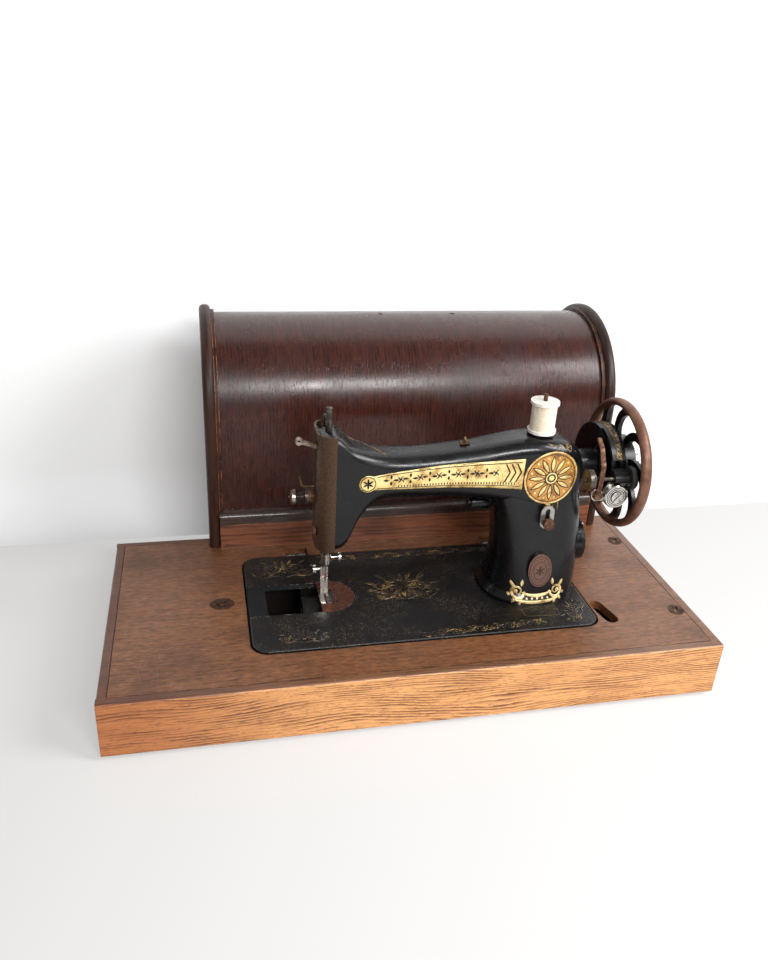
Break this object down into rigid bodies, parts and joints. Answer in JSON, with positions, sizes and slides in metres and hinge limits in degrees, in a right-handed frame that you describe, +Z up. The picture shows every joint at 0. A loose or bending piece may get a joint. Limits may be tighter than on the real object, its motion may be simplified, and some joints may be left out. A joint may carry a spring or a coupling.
{
  "type": "sewing machine with wooden case",
  "caption": "Antique sewing machine head set in a wooden base, with its bentwood cover lifted off and stood behind it.",
  "frame": {"origin": "bottom centre of the whole: base, machine and the cover behind it", "axes": "+Z up, +X along the arm toward the hand wheel, +Y from the operator to the back"},
  "size_m": [0.626, 0.475, 0.328],
  "materials": {
    "oak": "worn golden varnish, wavy grain",
    "stained_board": "stained and scratched varnish",
    "plain_board": "unfinished",
    "bentwood": "dark reddish varnish, vertical grain",
    "moulding": "dark reddish varnish, worn edges",
    "foot": "reddish brown",
    "tyre": "black",
    "black_enamel": "glossy black enamel with worn gold ornament",
    "wheel_enamel": "black enamel with a rusty rim",
    "fitting_black": "black",
    "tarnished_steel": "tarnished brown",
    "nickel": "worn nickel plate",
    "steel": "bare machined steel",
    "brass": "dull",
    "reel_white": "white",
    "thread": "cream thread"
  },
  "bodies": {
    "base": {"base_bottom_board": "plain_board", "base_feet": "foot", "base_rails": "oak", "base_top_board": "stained_board", "bed_rest_blocks": "plain_board", "cover_catch_plates": "nickel", "bed_hinges": "steel"},
    "cover": {"cover_shell": "bentwood", "cover_end_panels": "bentwood", "cover_end_mouldings": "moulding", "cover_plinth_boards": "moulding", "cover_bead_mouldings": "moulding", "cover_lock": "steel"},
    "head": {"bed": "black_enamel", "needle_plate": "tarnished_steel", "plate_screws": "tarnished_steel", "arm_casting": "black_enamel", "face_plate": "tarnished_steel", "bed_hinge_spigots": "steel", "tension_stud": "tarnished_steel", "tension_discs": "nickel", "tension_spring": "nickel", "thread_guides": "brass", "spool_pin": "nickel", "belt_guard": "black_enamel", "pillar_plates": "tarnished_steel", "pillar_bosses": "fitting_black", "shuttle_race": "steel", "bobbin_case": "steel", "bobbin": "steel"},
    "main_drive": {"main_shaft": "steel", "needle_crank": "steel", "hand_wheel": "wheel_enamel"},
    "clutch": {"clutch_screw": "nickel"},
    "needle_drive": {"needle_bar": "nickel", "needle_clamp": "nickel", "needle": "steel", "needle_bar_link": "steel"},
    "presser": {"presser_bar": "nickel", "presser_spring": "steel", "presser_foot": "nickel"},
    "lifter": {"presser_lifter": "nickel"},
    "pressure_knob": {"pressure_screw": "nickel"},
    "take_up": {"take_up_lever": "nickel"},
    "tension_knob": {"tension_nut": "nickel"},
    "regulator": {"regulator_screw": "tarnished_steel"},
    "reel": {"thread_reel": "reel_white", "reel_winding": "thread"},
    "winder_arm": {"winder_frame": "fitting_black"},
    "winder_wheel": {"winder_spindle": "nickel", "winder_tyre": "tyre"},
    "winder_gear": {"winder_worm_wheel": "nickel"},
    "latch": {"winder_latch": "tarnished_steel"},
    "rod": {"connecting_rod": "black_enamel"},
    "rocking_lever": {"rocker": "black_enamel"},
    "hook": {"hook_shaft": "steel", "shuttle_hook": "steel"},
    "feed_rocker": {"feed_rock_shaft": "steel"},
    "feed": {"feed_bar": "steel", "feed_dog": "steel"}
  },
  "joints": [
    {"name": "cover_lift", "type": "slide", "parent": "base", "child": "cover", "axis": [0, 0, 1], "range_m": [0, 0.3]},
    {"name": "head_tilt", "type": "hinge", "parent": "base", "child": "head", "pos_m": [0.015, 0.0014, 0.06], "axis": [-1, 0, 0], "range_deg": [0, 15]},
    {"name": "wheel_turn", "type": "hinge", "parent": "head", "child": "main_drive", "pos_m": [0.231, -0.0956, 0.2145], "axis": [1, 0, 0], "continuous": true},
    {"name": "clutch_turn", "type": "hinge", "parent": "main_drive", "child": "clutch", "pos_m": [0.241, -0.0956, 0.2145], "axis": [1, 0, 0], "range_deg": [0, 180]},
    {"name": "needle_stroke", "type": "slide", "parent": "head", "child": "needle_drive", "axis": [0, 0, -1], "range_m": [0, 0.031]},
    {"name": "lifter_turn", "type": "hinge", "parent": "head", "child": "lifter", "pos_m": [-0.078, -0.0696, 0.184], "axis": [0, -1, 0], "range_deg": [0, 80]},
    {"name": "presser_lift", "type": "slide", "parent": "head", "child": "presser", "axis": [0, 0, 1], "range_m": [0, 0.007], "deforming": ["presser_spring"]},
    {"name": "pressure_turn", "type": "hinge", "parent": "head", "child": "pressure_knob", "pos_m": [-0.086, -0.0826, 0.27], "axis": [0, 0, 1], "range_deg": [-360, 360]},
    {"name": "take_up_swing", "type": "hinge", "parent": "head", "child": "take_up", "pos_m": [-0.079, -0.1046, 0.244], "axis": [0, -1, 0], "range_deg": [0, 60]},
    {"name": "tension_turn", "type": "hinge", "parent": "head", "child": "tension_knob", "pos_m": [-0.119, -0.0906, 0.189], "axis": [1, 0, 0], "range_deg": [-360, 360]},
    {"name": "regulator_slide", "type": "slide", "parent": "head", "child": "regulator", "axis": [0, 0, 1], "range_m": [0, 0.01]},
    {"name": "reel_spin", "type": "hinge", "parent": "head", "child": "reel", "pos_m": [0.139, -0.0956, 0.273], "axis": [0, 0, 1], "continuous": true},
    {"name": "winder_swing", "type": "hinge", "parent": "head", "child": "winder_arm", "pos_m": [0.2208, -0.1326, 0.232], "axis": [1, 0, 0], "range_deg": [0, 8]},
    {"name": "winder_spin", "type": "hinge", "parent": "winder_arm", "child": "winder_wheel", "pos_m": [0.214, -0.1416, 0.218], "axis": [1, 0, 0], "continuous": true},
    {"name": "winder_gear_turn", "type": "hinge", "parent": "winder_arm", "child": "winder_gear", "pos_m": [0.209, -0.1456, 0.2], "axis": [0, 1, 0], "continuous": true},
    {"name": "latch_swing", "type": "hinge", "parent": "winder_arm", "child": "latch", "pos_m": [0.19, -0.1436, 0.2], "axis": [0, 1, 0], "range_deg": [-8, 10]},
    {"name": "rod_swing", "type": "hinge", "parent": "head", "child": "rod", "pos_m": [0.142, -0.0956, 0.2145], "axis": [1, 0, 0], "range_deg": [-3, 3]},
    {"name": "rocker_swing", "type": "hinge", "parent": "head", "child": "rocking_lever", "pos_m": [0.138, -0.0636, 0.038], "axis": [1, 0, 0], "range_deg": [-10, 10]},
    {"name": "hook_swing", "type": "hinge", "parent": "head", "child": "hook", "pos_m": [0.015, -0.0956, 0.04], "axis": [1, 0, 0], "range_deg": [-100, 100]},
    {"name": "feed_rock", "type": "hinge", "parent": "head", "child": "feed_rocker", "pos_m": [-0.001, -0.1406, 0.036], "axis": [1, 0, 0], "range_deg": [-6, 6]},
    {"name": "feed_slide", "type": "slide", "parent": "head", "child": "feed", "axis": [0, 1, 0], "range_m": [-0.002, 0.002]}
  ],
  "couplings": [
    {"joint": "lifter_turn", "follows": "presser_lift", "rad_per_m": 199},
    {"joint": "winder_gear_turn", "follows": "winder_spin", "ratio": 0.02},
    {"joint": "hook_swing", "follows": "rocker_swing", "ratio": -10},
    {"joint": "feed_rock", "follows": "feed_slide", "rad_per_m": -52}
  ]
}
